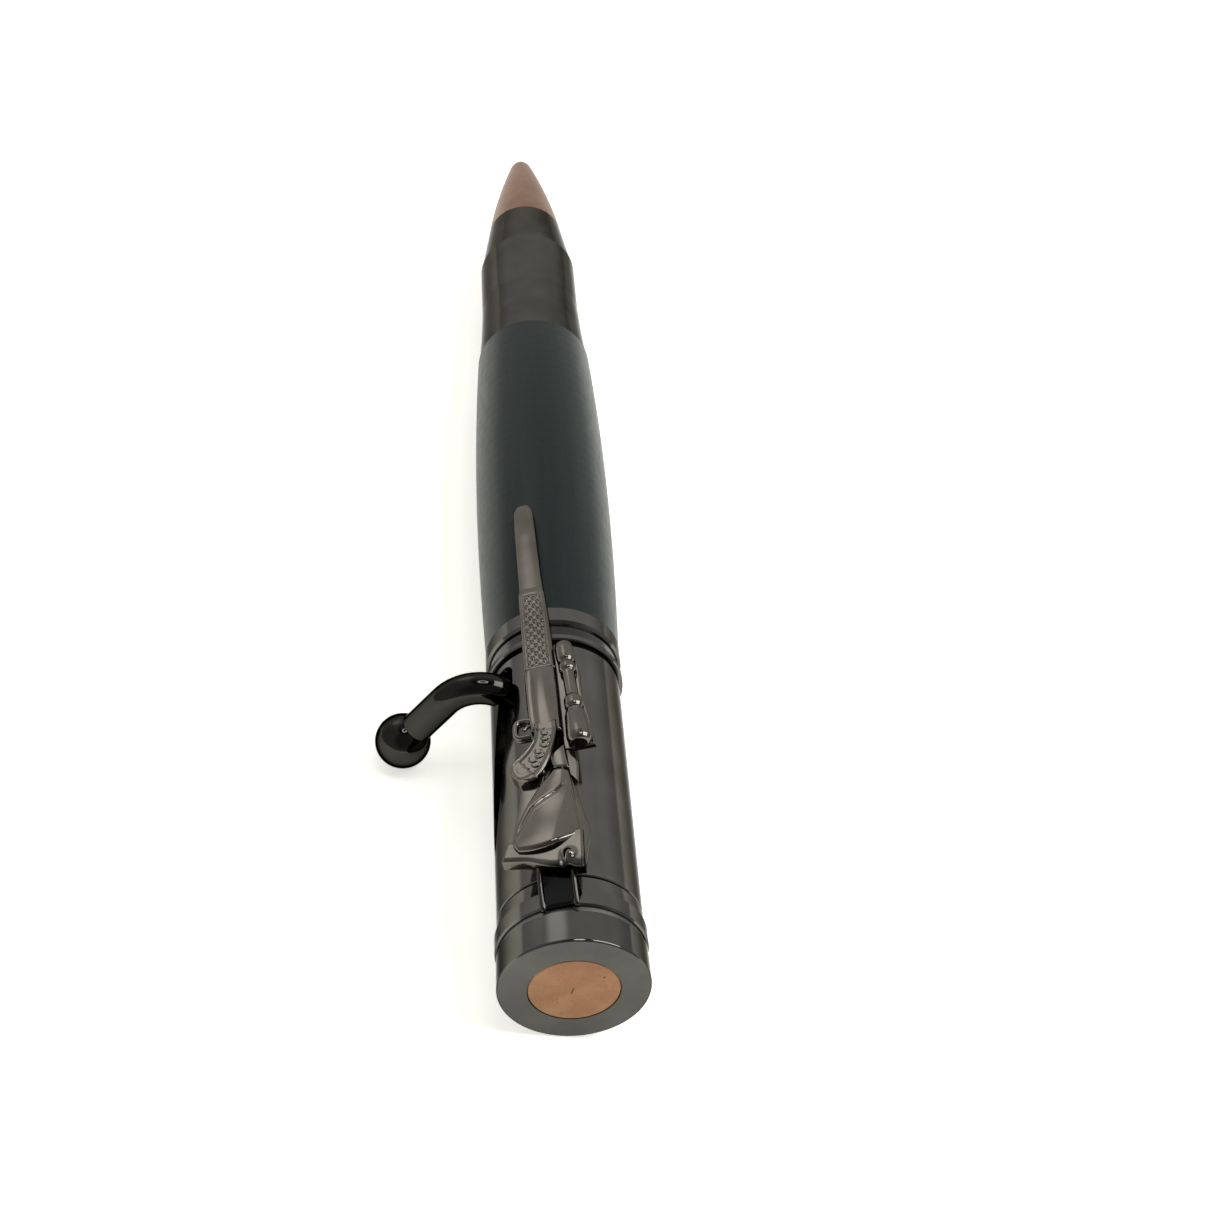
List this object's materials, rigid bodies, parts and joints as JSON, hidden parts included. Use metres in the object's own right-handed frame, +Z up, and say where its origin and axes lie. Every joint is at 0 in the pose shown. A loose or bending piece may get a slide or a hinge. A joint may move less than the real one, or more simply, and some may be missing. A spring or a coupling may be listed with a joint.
{
  "type": "bolt-action ballpoint pen",
  "caption": "Bolt-action ballpoint pen with a copper bullet-shaped tip, a black bowed barrel, a gunmetal bolt housing with a helical slot, a ball-ended bolt handle and a rifle-shaped clip.",
  "frame": {"origin": "centre of the end cap's flat face, on the pen's axis", "axes": "+X along the pen's axis from the cap's flat face to the writing point, +Z up as the pen lies on a table, +Y to the side where the bolt handle props it"},
  "size_m": [0.143, 0.0243, 0.0173],
  "materials": {
    "gunmetal_satin": "satin gunmetal plating",
    "gunmetal_bright": "polished dark gunmetal plating",
    "clip_casting": "antiqued gunmetal casting",
    "barrel_black": "satin",
    "black_ring": "gloss",
    "copper": "satin copper plating",
    "brass": "machined",
    "steel": "bright",
    "dark_steel": "blackened",
    "refill_plastic": "moulded"
  },
  "bodies": {
    "housing": {"end_cap": "gunmetal_satin", "primer_disc": "copper", "cap_screw": "steel", "clip_washer": "dark_steel", "retaining_ring": "gunmetal_satin", "rear_plug": "brass", "bolt_housing": "gunmetal_satin", "spacer_ring": "black_ring", "trim_ring": "gunmetal_satin", "centre_coupler": "gunmetal_satin", "barrel_tube": "brass", "barrel_sleeve": "barrel_black", "nib_coupler": "gunmetal_bright", "bullet_tip": "copper", "return_spring": "steel"},
    "refill": {"refill_plug": "refill_plastic", "refill_tube": "steel", "refill_tip": "steel", "refill_ball": "steel"},
    "bolt": {"bolt_carriage": "dark_steel", "pusher_rod": "steel", "bolt_handle": "gunmetal_bright", "bolt_knob": "gunmetal_bright"},
    "clip": {"clip": "clip_casting"}
  },
  "joints": [
    {"name": "bolt_slide", "type": "slide", "parent": "housing", "child": "refill", "axis": [1, 0, 0], "range_m": [-0.013, 0], "deforming": ["return_spring"]},
    {"name": "bolt_turn", "type": "hinge", "parent": "refill", "child": "bolt", "pos_m": [0.0317, 0, 0], "axis": [1, 0, 0], "range_deg": [-24.7, 0]},
    {"name": "clip_flex", "type": "hinge", "parent": "housing", "child": "clip", "pos_m": [0.0036, 0.00247, 0.00612], "axis": [0, -0.9272, 0.3746], "range_deg": [0, 2], "stiffness_Nm_per_rad": 3}
  ],
  "couplings": [
    {"joint": "bolt_turn", "follows": "bolt_slide", "rad_per_m": 33.161}
  ]
}
